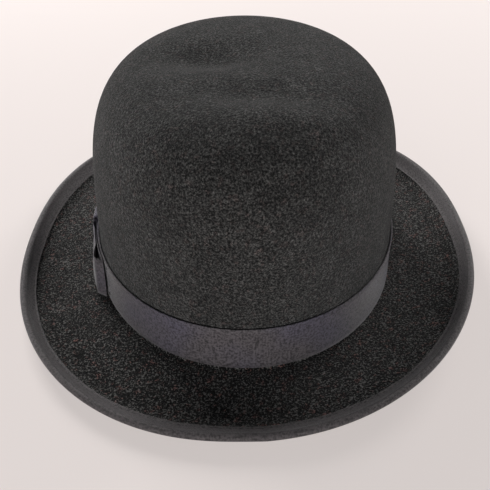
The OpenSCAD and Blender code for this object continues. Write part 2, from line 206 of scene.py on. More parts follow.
class HatShape:
    """The hat's outer face over u, which runs down the section, and q, the angle round the hat."""

    def __init__(self, sizes):
        self.s = sizes
        self.foot_z = sizes.felt_t + sizes.brim_dip
        self.middle_y = (sizes.brim_front - sizes.brim_back) / 2
        self.dome_top = (1 - DOME_SHARE ** sizes.shoulder_flat) ** (1 / sizes.shoulder_rise)

    def place(self, plan, z):
        """A point from a plan point about the crown's axis and a height over its foot."""
        return np.stack([plan[..., 0], plan[..., 1] + self.middle_y, self.foot_z + z], -1)

    def foot_plan(self, q):
        """Outline of the crown at the brim."""
        return np.stack([self.s.crown_w / 2 * np.cos(q), self.s.crown_l / 2 * np.sin(q)], -1)

    def foot_out(self, q):
        """Outward direction of that outline."""
        return unit(np.stack([np.cos(q) / self.s.crown_w, np.sin(q) / self.s.crown_l], -1))

    def edge_plan(self, q):
        """Outline of the brim's edge."""
        s = self.s
        ends = np.where(np.sin(q) < 0, s.brim_front, s.brim_back)
        power = 2 / s.brim_square
        return np.stack([(s.crown_w / 2 + s.brim_side) * signed_power(np.cos(q), power),
                         (s.crown_l / 2 + ends) * signed_power(np.sin(q), power)], -1)

    def brim(self, q):
        """Width, edge height, lip slope, curl radius, and the curl's start: slope, height, distance."""
        s = self.s
        side = np.abs(np.cos(q))
        width = np.linalg.norm(self.edge_plan(q) - self.foot_plan(q), axis=-1)
        edge_h = mix(s.edge_end_h, s.edge_side_h, side ** 1.6)
        edge_h = edge_h - s.warp_h * np.cos(q) * (1 + np.sin(q)) / 2
        lip = mix(s.lip_end, s.lip_side - s.lip_uneven * np.cos(q), side ** 2.2)
        radius = mix(s.curl_end_r, s.curl_side_r, (side ** 2 + 0.004) ** 0.3)
        rise = edge_h - radius * (1 - np.cos(lip))
        slope = np.maximum(0, 1.5 * np.arctan(rise / (width - radius * np.sin(lip))))
        start_z = np.maximum(-s.brim_dip, edge_h - radius * (np.cos(slope) - np.cos(lip)))
        start_d = width - radius * (np.sin(lip) - np.sin(slope))
        return lip, radius, slope, start_z, start_d

    def curl_length(self, q):
        """Length of the curl along the felt."""
        lip, radius, slope, _, _ = self.brim(q)
        return radius * (lip - slope)

    def brim_section(self, v, q):
        """Distance from the crown and height: v is 0 to 1 round the foot, to 2 flat, to 3 curling."""
        lip, radius, slope, start_z, start_d = self.brim(q)
        foot = np.clip(v, 0, 1) * math.pi / 2
        w = np.clip(v - 1, 0, 1)
        run = start_d - FOOT_R
        rise = start_z * (3 * w ** 2 - 2 * w ** 3) + run * np.tan(slope) * (w ** 3 - w ** 2)
        turn = mix(slope, lip, np.clip(v - 2, 0, 1))
        d = np.where(v < 1, FOOT_R * (1 - np.cos(foot)), np.where(
            v < 2, FOOT_R + run * w, start_d + radius * (np.sin(turn) - np.sin(slope))))
        z = np.where(v < 1, FOOT_R * (1 - np.sin(foot)), np.where(
            v < 2, rise, start_z + radius * (np.cos(slope) - np.cos(turn))))
        return d, z

    def dent(self, plan):
        """How far the top is pressed in at a plan point."""
        x, y = plan[..., 0] / MM, plan[..., 1] / MM
        return MM * sum(d * np.exp(-((x - a) / w) ** 2 - ((y - b) / h) ** 2) for a, b, w, h, d in DENTS)

    def crown(self, part, rise, q):
        """A point of the crown, from its share of the width and its share of the height."""
        plan = self.foot_plan(q) * (part * (1 - self.s.crown_taper * rise))[..., None]
        return self.place(plan, self.s.crown_h * rise - ease((rise - 0.6) / 0.2) * self.dent(plan))

    def face(self, u, q):
        """u runs 0 to 1 over the dome, to 2 down the wall and to 5 over the brim."""
        u, q = np.broadcast_arrays(np.asarray(u, float), np.asarray(q, float))
        s = self.s
        part = DOME_SHARE * np.clip(u, 0, 1)
        rise = mix(self.dome_top, FOOT_R / s.crown_h, np.clip(u - 1, 0, 1))
        dome = self.crown(part, (1 - part ** s.shoulder_flat) ** (1 / s.shoulder_rise), q)
        wall = self.crown((1 - rise ** s.shoulder_rise) ** (1 / s.shoulder_flat), rise, q)
        d, z = self.brim_section(u - 2, q)
        out = unit(self.edge_plan(q) - self.foot_plan(q))
        brim = self.place(self.foot_plan(q) + d[..., None] * out, z)
        u = u[..., None]
        return np.where(u < 1, dome, np.where(u < 2, wall, brim))

    def along(self, u, q):
        """Direction down the section."""
        step = 0.002
        return unit(self.face(np.minimum(u + step, 5), q) - self.face(np.maximum(u - step, step / 2), q))

    def round(self, u, q):
        """Direction round the hat."""
        return unit(self.face(u, q + 0.001) - self.face(u, q - 0.001))

    def outward(self, u, q):
        """Outward direction of the face."""
        return unit(np.cross(self.along(u, q), self.round(u, q)))

    def off(self, u, q, h):
        """A point a distance off the face."""
        h = np.broadcast_to(h, np.broadcast(u, q).shape)
        return self.face(u, q) + h[..., None] * self.outward(u, q)

    def wall(self, z, q, h):
        """A point at a height on the crown's wall, a distance off it."""
        z, q, h = np.broadcast_arrays(*(np.asarray(a, float) for a in (z, q, h)))
        s = self.s
        rise = np.maximum(z, 0) / s.crown_h
        part = (1 - rise ** s.shoulder_rise) ** (1 / s.shoulder_flat) * (1 - s.crown_taper * rise)
        return self.place(self.foot_plan(q) * part[..., None] + h[..., None] * self.foot_out(q), z)

    def binding_u(self, q, back=0.0):
        """Where the binding's inner edge lies on the curl, or a distance inside that."""
        return 5 - (self.s.binding_w - back) / self.curl_length(q)

    def past_edge(self, q, out, h):
        """A point past the felt's edge: a distance out along the face and a height off it."""
        return self.face(5.0, q) + out * self.along(5.0, q) + h * self.outward(5.0, q)


def hat_shape(context):
    """The hat's face at the scene's sizes."""
    return HatShape(context.scene.hat_sizes)


def angles(count):
    """Angles once round the hat."""
    return np.arange(count) * TURN / count


# ---- Meshes ----

def grid_faces(rings, points, wrap_rings, wrap_points=True):
    """Corner indices and grid indices of the quads between rings of points."""
    i = np.arange(rings if wrap_rings else rings - 1)[:, None]
    j = np.arange(points if wrap_points else points - 1)[None, :]
    i, j = (a.ravel() for a in np.broadcast_arrays(i, j))
    steps = [(0, 0), (0, 1), (1, 1), (1, 0)]
    corners = np.stack([((i + a) % rings) * points + (j + b) % points for a, b in steps], -1)
    places = np.stack([np.stack([i + a, j + b], -1) for a, b in steps], 1)
    return corners, places


def mesh_piece(name, points, faces, uvs=None):
    """A smooth mesh object with its normals turned outward."""
    mesh = bpy.data.meshes.new(name)
    mesh.from_pydata([tuple(p) for p in points], [], [tuple(int(k) for k in f) for f in faces])
    if uvs is not None:
        layer = mesh.uv_layers.new(name="weave")
        layer.data.foreach_set("uv", np.concatenate(uvs).astype(np.float32).ravel())
    work = bmesh.new()
    work.from_mesh(mesh)
    bmesh.ops.recalc_face_normals(work, faces=work.faces)
    work.to_mesh(mesh)
    work.free()
    mesh.shade_smooth()
    piece = bpy.data.objects.new(name, mesh)
    bpy.context.scene.collection.objects.link(piece)
    return piece


def path_length(points):
    """Length of a row of points."""
    return float(np.linalg.norm(np.diff(points, axis=0), axis=-1).sum())


def section_lengths(sections, axis):
    """Mean running length along one axis of an array of points, one more than its points."""
    steps = np.linalg.norm(np.roll(sections, -1, axis) - sections, axis=-1).mean(1 - axis)
    return np.concatenate([[0], np.cumsum(steps)])


def end_faces(rings, count):
    """The two flat ends of a strip of rings."""
    return [list(range(count))[::-1], list(range((rings - 1) * count, rings * count))]


def ring_piece(name, sections, closed=True):
    """A solid from cross sections: a hoop, or a strip with flat ends. Its UVs are in metres."""
    rings, count = sections.shape[:2]
    corners, places = grid_faces(rings, count, closed)
    run, girth = section_lengths(sections, 0), section_lengths(sections, 1)
    uvs = [np.stack([run[p[:, 0]], girth[p[:, 1]]], -1) for p in places]
    faces = [list(c) for c in corners]
    if not closed:
        faces += end_faces(rings, count)
        uvs += [np.zeros((count, 2))] * 2
    return mesh_piece(name, sections.reshape(-1, 3), faces, uvs)


def bowl_piece(name, rings, top_out, top_in):
    """A solid bowl: rings from the top outside, round the rim, to the top inside."""
    count, n = rings.shape[:2]
    corners, _ = grid_faces(count, n, False)
    last = count * n
    j = np.arange(n)
    caps = [(last, (k + 1) % n, k) for k in j]
    caps += [(last + 1, (count - 1) * n + k, (count - 1) * n + (k + 1) % n) for k in j]
    points = np.concatenate([rings.reshape(-1, 3), [top_out, top_in]])
    return mesh_piece(name, points, [list(c) for c in corners] + caps)


def stitch_piece(name, middles, directions, lifts, stitch_length, radius):
    """Thread stitches that rise in an arc: each is a thin tube with tapered ends."""
    arc = np.linspace(-1, 1, 7)
    turns = angles(6)
    tube = [*grid_faces(len(arc), len(turns), False)[0], *end_faces(len(arc), len(turns))]
    points, faces = [], []
    for middle, forward, lift in zip(middles, unit(directions), unit(lifts)):
        side = np.cross(forward, lift)
        first = len(points)
        for a in arc:
            thick = radius * math.sqrt(max(0.08, 1 - abs(a) ** 3))
            centre = middle + forward * a * stitch_length / 2 - lift * a * a * radius * 1.4
            points += [centre + thick * (math.cos(t) * side + math.sin(t) * lift) for t in turns]
        faces += [[first + c for c in face] for face in tube]
    return mesh_piece(name, points, faces)


def finish_piece(piece, material, slot, *nodes):
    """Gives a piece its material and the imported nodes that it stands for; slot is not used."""
    piece.data.materials.clear()
    piece.data.materials.append(material)
    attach(piece, ROOT)
    if nodes:
        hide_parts(*nodes)
    return piece


def finish_node(node, material):
    """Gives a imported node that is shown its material."""
    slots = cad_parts[node].data.materials
    slots.clear()
    slots.append(bpy.data.materials[material])


# ---- Materials ----

class Value:
    """A socket that takes part in sums; each sum adds a Math node."""

    def __init__(self, finish, socket):
        self.finish = finish
        self.socket = socket

    def math(self, operation, *others):
        return self.finish.node("ShaderNodeMath", {"operation": operation}, [self, *others])

    def __add__(self, other):
        return self.math("ADD", other)

    __radd__ = __add__

    def __sub__(self, other):
        return self.math("SUBTRACT", other)

    def __rsub__(self, other):
        return self.finish.node("ShaderNodeMath", {"operation": "SUBTRACT"}, [other, self])

    def __mul__(self, other):
        return self.math("MULTIPLY", other)

    __rmul__ = __mul__

    def sine(self):
        return self.math("SINE")

    def clamped(self):
        """The value kept between 0 and 1."""
        return self.finish.node("ShaderNodeMath", {"operation": "ADD", "use_clamp": True}, [self, 0.0])


class Finish:
    """Builds one material on a Principled shader."""

    def __init__(self, name, constants):
        self.material = bpy.data.materials.new(name)
        self.material.use_nodes = True
        self.tree = self.material.node_tree
        self.shader = self.tree.nodes["Principled BSDF"]
        for key, value in constants.items():
            self.shader.inputs[key].default_value = value

    def plug(self, socket, value):
        """Links a value, or sets a constant."""
        if isinstance(value, Value):
            self.tree.links.new(value.socket, socket)
        else:
            socket.default_value = value

    def node(self, kind, settings=None, values=None, output=0):
        """Adds a node: its settings first, then the values or links of its sockets."""
        made = self.tree.nodes.new(kind)
        for key, setting in (settings or {}).items():
            setattr(made, key, setting)
        pairs = values.items() if isinstance(values, dict) else enumerate(values or [])
        for key, value in pairs:
            self.plug(made.inputs[key], value)
        return Value(self, made.outputs[output])

    def where(self):
        """The place on the hat, in metres."""
        return self.node("ShaderNodeTexCoord", output="Object")

    def stretched(self, place, scale, turn=(0, 0, 0)):
        """The place turned and then scaled along each axis."""
        return self.node("ShaderNodeMapping", {"vector_type": "TEXTURE"},
                         {"Vector": place, "Rotation": turn, "Scale": tuple(1 / k for k in scale)})

    def moved(self, place, shift):
        """The place moved along every axis."""
        return self.node("ShaderNodeVectorMath", {"operation": "ADD"}, [place, (shift, shift, shift)])

    def noise(self, place, scale, detail=2.0, roughness=0.5):
        """Smooth noise round 0.5."""
        return self.node("ShaderNodeTexNoise", {}, {
            "Vector": place, "Scale": scale, "Detail": detail, "Roughness": roughness})

    def blend(self, factor, first, second, how="MIX"):
        """One colour mixed into another."""
        return self.node("ShaderNodeMix", {"data_type": "RGBA", "blend_type": how, "clamp_factor": True},
                         {0: factor, 6: first, 7: second}, output=2)

    def bump(self, height, strength, distance):
        """A normal from a height."""
        return self.node("ShaderNodeBump", {}, {
            "Height": height, "Strength": strength, "Distance": distance})

    def set(self, values):
        """Plugs values into the shader and returns the material."""
        for key, value in values.items():
            self.plug(self.shader.inputs[key], value)
        return self.material


def rgba(value):
    """A colour property as a socket takes it."""
    return (value[0], value[1], value[2], 1.0)


def felt_finish(colours):
    """Short-napped felt: a dark ground under curling fibres, thicker on the brim, a brim ground darkened
    as painted shade, and a soft sheen.
    """
    felt = Finish("fur_felt", {"Roughness": 0.95, "Sheen Weight": 0.12, "Sheen Roughness": 0.45,
                               "Sheen Tint": (0.9, 0.92, 0.92, 1), "Specular IOR Level": 0.12})
    where = felt.where()
    level = felt.node("ShaderNodeSeparateXYZ", {}, [where], output="Z")
    brim = ((0.028 - level) * 250).clamped()
    fibres = None
    for scale, shift in ((430, 0.0), (560, 1.7), (720, 3.1)):
        hairs = felt.noise(felt.moved(where, shift), scale, 1.0)
        line = (1 - (hairs - 0.5).math("ABSOLUTE") * 17).clamped()
        fibres = line if fibres is None else fibres + line
    grain = felt.noise(where, 1000, 1.0) - 0.5
    fine = felt.noise(felt.moved(where, 5.3), 1700, 1.0) - 0.5
    speck = grain * 2.2 + fine * 1.5
    patches = ((felt.noise(where, 95, 3.0, 0.6) - 0.34) * 2.6).clamped()
    amount = fibres * patches * (brim * 0.12 + 0.20) + speck * (brim * 1.4 + 0.58)
    # The brim's ground is painted darker, as painted shade from the crown; the extra flecks above are
    # the brim's thicker nap
    amount = (amount + 0.17 - brim * 0.22).clamped()
    amount = (amount * (amount * 0.9 + 0.5)).clamped()
    warm = ((felt.noise(where, 330, 1.0) - 0.56) * 7).clamped() * (brim * 0.55 + 0.25)
    fleck = felt.blend(warm, rgba(colours.fleck), rgba(colours.rust))
    slow = felt.noise(where, 18, 2.0) * 0.5 + 0.75
    tone = felt.blend(amount * slow, rgba(colours.felt), fleck)
    height = speck * 0.8 + fibres * 0.4
    return felt.set({"Base Color": tone, "Normal": felt.bump(height, 0.7, 0.8 * MM)})


def grosgrain_finish(name, base, tint, rib=0.8 * MM, sheen=0.3, fold=None):
    """Ribbed ribbon: cords across its length with painted shade in the grooves between them, a fine
    weave over them and slow changes of tone.

    For a ribbon folded over an edge, fold is the length round its section, and its two
    selvedges are painted paler, a painted highlight where they catch the light.
    """
    cloth = Finish(name, {"Roughness": 0.62, "Sheen Weight": sheen, "Sheen Roughness": 0.4,
                          "Specular IOR Level": 0.35})
    uv = cloth.node("ShaderNodeUVMap", {"uv_map": "weave"})
    run = cloth.node("ShaderNodeSeparateXYZ", {}, [uv], output="X")
    across = cloth.node("ShaderNodeSeparateXYZ", {}, [uv], output="Y")
    ribs = (run * (TURN / rib)).sine() * 0.5 + 0.5
    picks = (across * (TURN / (0.45 * MM))).sine() * 0.5 + 0.5
    where = cloth.where()
    fuzz = cloth.noise(where, 900, 1.5) - 0.5
    patches = ((cloth.noise(where, 22, 2.0) - 0.42) * 4).clamped()
    tone = cloth.blend(patches, rgba(base), rgba(tint))
    # The grooves between the cords are painted darker, which is painted shade; the fuzz adds random tone
    dark = cloth.blend(1.0, tone, (0.30, 0.30, 0.30, 1), "MULTIPLY")
    light = (ribs * 0.35 + fuzz * 3.8 + 0.47).clamped()
    tone = cloth.blend(light, dark, tone)
    if fold:
        # Both selvedges are painted paler: a painted highlight where the folded edge catches the light
        steep = 1 / SELVEDGE
        edge = (1 - across * steep).clamped() + (1 - (fold - across) * steep).clamped()
        pale = tuple(channel * 2.4 for channel in base) + (1,)
        tone = cloth.blend(edge.clamped() * 0.75, tone, pale)
    height = ribs + picks * 0.25 + fuzz * 0.3
    return cloth.set({"Base Color": tone, "Normal": cloth.bump(height, 0.5, 0.25 * MM)})


def leather_finish(colours):
    """Smooth leather with fine grain, darker where it is handled."""
    hide = Finish("band_leather", {"Specular IOR Level": 0.45})
    where = hide.where()
    grain = hide.node("ShaderNodeTexVoronoi", {"feature": "F1"}, {"Vector": where, "Scale": 1100.0})
    wear = ((hide.noise(where, 35, 3.0) - 0.4) * 3).clamped()
    worn = hide.blend(1.0, rgba(colours.leather), (0.55, 0.5, 0.46, 1), "MULTIPLY")
    tone = hide.blend(wear, worn, rgba(colours.leather))
    return hide.set({"Base Color": tone, "Roughness": wear * 0.2 + 0.38,
                     "Normal": hide.bump(grain, 0.25, 0.2 * MM)})


def satin_finish(name, base, sheen=0.35):
    """Satin: a smooth lustre over very fine threads, with soft creases whose hollows are painted darker
    as painted shade.
    """
    cloth = Finish(name, {"Sheen Weight": sheen, "Specular IOR Level": 0.6, "Anisotropic": 0.4})
    where = cloth.where()
    threads = cloth.noise(cloth.stretched(where, (2600, 2600, 300)), 1.0, 1.0)
    creases = cloth.noise(where, 70, 2.0)
    # The hollows of the creases are painted darker, as painted shade
    dark = cloth.blend(1.0, rgba(base), (0.8, 0.79, 0.77, 1), "MULTIPLY")
    tone = cloth.blend((creases * 1.4 - 0.2).clamped(), dark, rgba(base))
    return cloth.set({"Base Color": tone, "Roughness": threads * 0.12 + 0.3,
                      "Normal": cloth.bump(threads * 0.3 + creases, 0.3, 0.5 * MM)})


def thread_finish(name, base):
    """Twisted sewing thread."""
    strand = Finish(name, {"Roughness": 0.55, "Sheen Weight": 0.2})
    where = strand.where()
    twist = strand.noise(strand.stretched(where, (1800, 1800, 5200), (0.5, 0.4, 0)), 1.0, 1.0)
    dark = strand.blend(1.0, rgba(base), (0.6, 0.6, 0.6, 1), "MULTIPLY")
    return strand.set({"Base Color": strand.blend(twist, dark, rgba(base)),
                       "Normal": strand.bump(twist, 0.6, 0.1 * MM)})


def plain_finish(name, base, roughness, grain_scale):
    """A plain stiff sheet or rod with fine unevenness, for tape, reed and paper."""
    stuff = Finish(name, {"Specular IOR Level": 0.3})
    grain = stuff.noise(stuff.where(), grain_scale, 3.0)
    dark = stuff.blend(1.0, rgba(base), (0.82, 0.8, 0.77, 1), "MULTIPLY")
    return stuff.set({"Base Color": stuff.blend((grain * 1.6 - 0.3).clamped(), dark, rgba(base)),
                      "Roughness": grain * 0.2 + roughness, "Normal": stuff.bump(grain, 0.2, 0.1 * MM)})


# ---- Pieces ----

class HAT_OT_felt(bpy.types.Operator):
    """Build the felt hood: crown, brim and their inner face"""
    bl_idname = "hat.felt"
    bl_label = "Felt hood"

    def execute(self, context):
        shape = hat_shape(context)
        q = angles(288)
        # Rows down the dome, the wall, the foot's round, the flat of the brim and its curl
        steps = np.concatenate([part + np.linspace(0, 1, rows)[1:]
                                for part, rows in enumerate((46, 32, 6, 26, 18))])
        outer = [shape.face(u, q) for u in steps]
        inner = [shape.off(u, q, -shape.s.felt_t) for u in steps[::-1]]
        top = shape.face(0.0, 0.0)
        rings = np.array(outer + inner)
        rings[..., 2] = np.maximum(rings[..., 2], 0)
        piece = bowl_piece("felt_crown_and_brim", rings, top, top - [0, 0, shape.s.felt_t])
        finish_piece(piece, felt_finish(context.scene.hat_colours), "felt", "felt_hood")
        return {"FINISHED"}


def ribbon_section(low, high, back, thick, count=5):
    """Outline of a ribbon across its width: heights and distances, with rounded edges."""
    z = np.linspace(low, high, count)
    round_z = min(thick * 0.4, (high - low) * 0.1)
    up = [low + round_z, *z[1:-1], high - round_z]
    share_out = [0] * count + [0.5] + [1] * count + [0.5]
    return np.array([*up, high, *up[::-1], low]), back + thick * np.array(share_out)


class HAT_OT_band(bpy.types.Operator):
    """Build the ribbon band round the foot of the crown"""
    bl_idname = "hat.band"
    bl_label = "Hat band"

    def execute(self, context):
        shape = hat_shape(context)
        s = shape.s
        q = angles(288)[:, None]
        heights, outs = ribbon_section(FOOT_R, FOOT_R + s.band_h, SNUG, s.band_t, 9)
        level = (heights - FOOT_R) / s.band_h
        turns = circle(q[:, 0])
        lean = 1 + 0.25 * ripple(turns, 0.5, 3)[:, None]
        stand = s.band_stand * level[None, :] ** 4 * lean
        sag = 0.25 * MM * ripple(turns, 0.35, 5)[:, None]
        sections = shape.wall(heights[None, :] + sag * level[None, :], q, outs[None, :] + stand)
        piece = ring_piece("ribbon_band", sections)
        finish_piece(piece, bpy.data.materials["ribbon_grosgrain"], "ribbon", "hat_band")
        finish_node("band_tacks", "black_thread")
        return {"FINISHED"}


class BowShape:
    """The bow in the crown's own terms: angles round the crown and distances off its wall."""

    def __init__(self, shape):
        s = shape.s
        self.shape = shape
        self.knot_q = math.asin(s.knot_w / s.crown_l)
        self.pinch_q = self.knot_q + math.radians(0.5)
        self.end_q = math.asin(2 * s.bow_reach / s.crown_l)
        self.knot_back = SNUG + s.band_t + SNUG
        self.loop_back = self.knot_back + s.bow_t + 2 * SNUG
        self.pinch = self.loop_back + 2 * s.bow_t + SNUG
        self.knot_front = self.pinch + SNUG + s.bow_t
        self.low = FOOT_R + 0.5 * MM
        self.top = FOOT_R + s.band_h + 0.5 * MM


class HAT_OT_bow(bpy.types.Operator):
    """Build the flat bow on the wearer's left: two loops and the knot round them"""
    bl_idname = "hat.bow"
    bl_label = "Side bow"

    def loops(self, bow):
        """One closed ribbon: out along the front of both loops and back along the band."""
        s = bow.shape.s
        fold_q = math.radians(2.5)
        reach = np.concatenate([
            np.linspace(0, bow.pinch_q, 5)[:-1], np.linspace(bow.pinch_q, bow.end_q - fold_q, 26)[:-1],
            bow.end_q - fold_q * (1 - np.sin(np.linspace(0, math.pi / 2, 8)))])
        q = np.concatenate([-reach[:0:-1], reach])
        q = np.concatenate([q, q[-2:0:-1]])[:, None]
        side = np.where(np.arange(len(q)) < len(reach) * 2 - 1, 1, -1)[:, None]
        k = np.maximum(0, np.abs(q) - bow.pinch_q) / (bow.end_q - bow.pinch_q)
        fold = np.sqrt(np.maximum(0, 1 - np.maximum(0, (np.abs(q) - bow.end_q + fold_q) / fold_q) ** 2))
        heights, thick = ribbon_section(bow.low, bow.top, 0, 1, 9)
        level = ((heights - bow.low) / (bow.top - bow.low))[None, :]
        # The loop's foot stands out as far as a crease near its end, and its top edge is closed to the
        # crown but for a slit at the knot and a wedge that is widest at the crease
        past_crease = 1 - np.clip((k - 0.88) / 0.12, 0, 1)
        foot = s.loop_puff * 1.35 * ease(k / 0.25) * past_crease
        slit = s.loop_puff * 0.5 * ease(k / 0.05) * (1 - ease((k - 0.08) / 0.12))
        wedge = s.loop_puff * 1.25 * ease((k - 0.50) / 0.36) * past_crease
        depth = mix(foot, slit + wedge, level ** 1.2) + 2 * s.bow_t + SNUG
        middle = bow.loop_back + depth / 2
        outer = middle + side * depth / 2 * fold
        inward = side * fold * s.bow_t
        turn = np.sign(q) * (1 - fold) * s.bow_t / s.crown_l * 2
        cut = 1 - thick[None, :]
        # The ends are drawn in a little at both corners
        slant = 2 * MM / s.crown_l * ease((k - 0.5) / 0.5) * (np.abs(level - 0.55) * 2) ** 1.5
        angle = q - turn * cut - np.sign(q) * slant
        return bow.shape.wall(heights[None, :] + 0 * q, angle, outer - inward * cut)

    def knot(self, bow):
        """The wrap: over the loops, round both edges and behind them, narrower at its middle."""
        s = bow.shape.s
        low = FOOT_R - 0.5 * MM
        top = FOOT_R + s.band_h + s.knot_proud
        thick = s.bow_t * 0.8
        half = (top - low) / 2
        a = angles(40)
        back, front = bow.knot_back, bow.knot_front + 0.6 * MM
        deep = (front - back) / 2
        rise, out = signed_power(np.sin(a), 0.35), signed_power(np.cos(a), 0.45)
        z, inner_z = ((low + top) / 2 + (half - t) * rise for t in (0, thick))
        h, inner_h = ((back + front) / 2 + (deep - t) * out for t in (0, thick))
        turns = np.linspace(-1, 1, 13)
        waist = 1 - 0.10 * (1 - np.abs(np.sin(a))) * (np.cos(a) > 0)
        creases = 0.16 * MM * np.cos(turns[None, :] * 9) * (np.cos(a)[:, None] > 0.2)
        outer_q = turns[None, :] * bow.knot_q * waist[:, None]
        outer = bow.shape.wall(z[:, None], outer_q, h[:, None] + creases)
        inner = bow.shape.wall(inner_z[:, None], outer_q, inner_h[:, None])
        return np.concatenate([outer, inner[:, ::-1]], 1)

    def execute(self, context):
        bow = BowShape(hat_shape(context))
        ribbon = bpy.data.materials["ribbon_grosgrain"]
        finish_piece(ring_piece("bow_ribbon", self.loops(bow)), ribbon, "ribbon", "bow_loops")
        finish_piece(ring_piece("bow_wrap", self.knot(bow)), ribbon, "ribbon", "bow_knot")
        finish_node("bow_tacks", "black_thread")
        return {"FINISHED"}


class HAT_OT_binding(bpy.types.Operator):
    """Build the ribbon folded over the brim's edge and its stitches"""
    bl_idname = "hat.binding"
    bl_label = "Brim binding"

    def execute(self, context):
        shape = hat_shape(context)
        s = shape.s
        q = angles(360)
        over = SNUG + s.binding_t
        turns = circle(q)
        wander = 0.35 * MM * ripple(turns, 0.12, 11)
        first = shape.binding_u(q, wander)
        under_first = shape.binding_u(q, 0.4 * MM * ripple(turns, 0.12, 12))
        steps = np.concatenate([[0, 0.04, 0.09], np.linspace(0.17, 1, 9)])
        puff = 0.15 * MM * ripple(turns, 0.05, 13)
        flare = 0.55 * MM * (1 + 0.5 * ripple(turns, 0.08, 14))
        wrap_r = s.felt_t / 2 + over
        columns = [shape.off(mix(first, 5, k), q, SNUG) for k in steps]
        columns += [shape.past_edge(q, SNUG, SNUG), shape.past_edge(q, SNUG, -s.felt_t - SNUG)]
        columns += [shape.off(mix(under_first, 5, k), q, -s.felt_t - SNUG) for k in steps[::-1]]
        columns += [shape.off(mix(under_first, 5, k), q, -s.felt_t - over * min(1, 0.75 + 4 * k))
                    for k in steps[:-1]]
        columns += [shape.past_edge(q, wrap_r * math.cos(a), wrap_r * math.sin(a) - s.felt_t / 2)
                    for a in np.linspace(-math.pi / 2, math.pi / 2, 11)]
        columns += [shape.off(mix(first, 5, k), q, over + puff * (1 - k) ** 2 + flare * (1 - k) ** 12)
                    for k in steps[-2::-1]]
        sections = np.stack(columns, 1)
        colours = context.scene.hat_colours
        # The section's length lets the finish paint a highlight along both selvedges
        cloth = grosgrain_finish("binding_grosgrain", colours.binding, colours.binding, 0.7 * MM, 0.35,
                                 float(section_lengths(sections, 1)[-1]))
        piece = ring_piece("edge_binding", sections)
        finish_piece(piece, cloth, "binding_ribbon", "brim_binding")

        q = angles(210)
        h = over + s.thread_r * 0.25
        u = shape.binding_u(q, 1.4 * MM)
        middles = np.concatenate([shape.off(u, q, h), shape.off(u, q, -s.felt_t - h)])
        forward = shape.round(u, q)
        lifts = shape.outward(u, q)
        thread = stitch_piece("binding_thread", middles, np.concatenate([forward, forward]),
                              np.concatenate([lifts, -lifts]), 2.2 * MM, s.thread_r * 0.55)
        finish_piece(thread, bpy.data.materials["black_thread"], "black_thread", "binding_stitches")
        return {"FINISHED"}


class InnerFit:
    """Heights and distances of the pieces inside the head opening."""

    def __init__(self, shape):
        s = shape.s
        self.shape = shape
        self.corner_r = s.felt_t + FOOT_R
        self.tape_r = s.reed_r + SNUG + s.tape_t
        reach = self.corner_r + LOOSE - SNUG + self.tape_r
        self.reed_d = FOOT_R - reach * math.cos(math.radians(35))
        self.reed_z = FOOT_R - reach * math.sin(math.radians(35))
        self.low = self.reed_z - self.tape_r - 0.1 * MM
        self.top = self.low + s.sweat_h
        self.lining_face = -s.felt_t - LOOSE
        self.lining_back = self.lining_face - s.lining_t
        self.ticket_z = (self.top - 6 * MM, self.top + 9 * MM)
        self.ticket_q = math.radians(66)
        self.ticket_back = self.lining_back - SNUG - self.chord_gap(s.lining_low, self.ticket_z[1])

    def chord_gap(self, low, high):
        """How far a straight run between two heights cuts inside the round of the wall."""
        ends = [self.shape.wall(z, self.ticket_q, 0.0) for z in (low, high, (low + high) / 2)]
        return np.linalg.norm(ends[2] - (ends[0] + ends[1]) / 2)

    def leather_out(self, z):
        """The leather's outer face, as a distance off the crown's wall."""
        s = self.shape.s
        top = self.ticket_back - PAPER_T - SNUG
        return mix(self.reed_d - self.tape_r - 0.2 * MM, top, (z - self.low) / s.sweat_h)

    def leather_in(self, z):
        """The leather's inner face."""
        return self.leather_out(z) - self.shape.s.sweat_t


